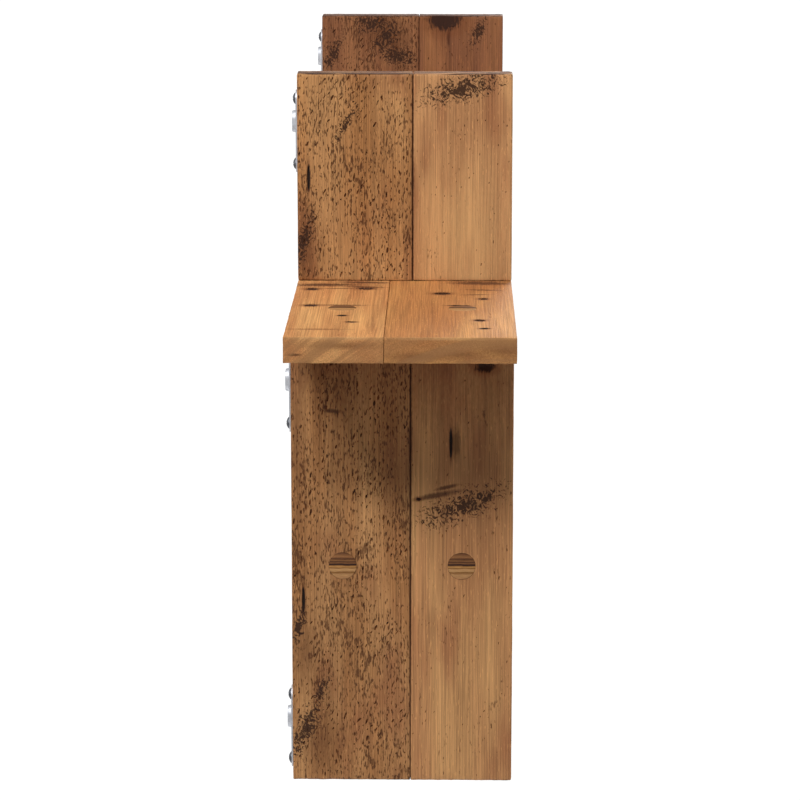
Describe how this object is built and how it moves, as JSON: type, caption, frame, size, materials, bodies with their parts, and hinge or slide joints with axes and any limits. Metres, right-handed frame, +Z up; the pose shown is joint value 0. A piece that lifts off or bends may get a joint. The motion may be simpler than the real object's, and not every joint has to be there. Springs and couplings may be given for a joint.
{
  "type": "wall shelf",
  "caption": "Wall-hung wooden shelf: a long board with short uprights on top and longer uprights below that carry a lower shelf, hung on keyhole plates.",
  "frame": {"origin": "in the wall plane, half way along the shelf, at the centre of the round keyhole entries of the lower uprights' four hanger plates", "axes": "+X along the shelf to the viewer's right, +Y into the wall, +Z up; the front edges face -Y"},
  "size_m": [0.85, 0.1639, 0.5075],
  "materials": {
    "rear_plank_wood": "weathered reclaimed softwood, dark flecks along the grain, oiled matt",
    "front_plank_wood": "planed reclaimed softwood, fine straight grain, oiled matt",
    "plug_wood": "cross-grain softwood plug, sanded flush",
    "zinc_plate": "bright zinc plated pressed sheet",
    "dark_screw_steel": "dark phosphated steel",
    "zinc_screw_steel": "zinc plated steel"
  },
  "bodies": {
    "root": {"main_shelf_rear_plank": "rear_plank_wood", "main_shelf_front_plank": "front_plank_wood", "lower_shelf_rear_plank": "rear_plank_wood", "lower_shelf_front_plank": "front_plank_wood", "lower_left_upright_rear_plank": "rear_plank_wood", "lower_left_upright_front_plank": "front_plank_wood", "lower_right_upright_rear_plank": "rear_plank_wood", "lower_right_upright_front_plank": "front_plank_wood", "upper_left_upright_rear_plank": "rear_plank_wood", "upper_left_upright_front_plank": "front_plank_wood", "upper_right_upright_rear_plank": "rear_plank_wood", "upper_right_upright_front_plank": "front_plank_wood", "hanger_upper_left": "zinc_plate", "hanger_upper_right": "zinc_plate", "hanger_lower_left_top": "zinc_plate", "hanger_lower_left_foot": "zinc_plate", "hanger_lower_right_top": "zinc_plate", "hanger_lower_right_foot": "zinc_plate", "upper_hanger_screws": "dark_screw_steel", "lower_hanger_screws": "dark_screw_steel", "main_to_lower_screws": "zinc_screw_steel", "main_to_upper_screws": "zinc_screw_steel", "lower_shelf_screws": "zinc_screw_steel", "main_top_plugs": "plug_wood", "main_underside_plugs": "plug_wood", "left_upright_plugs": "plug_wood", "right_upright_plugs": "plug_wood"}
  },
  "joints": []
}
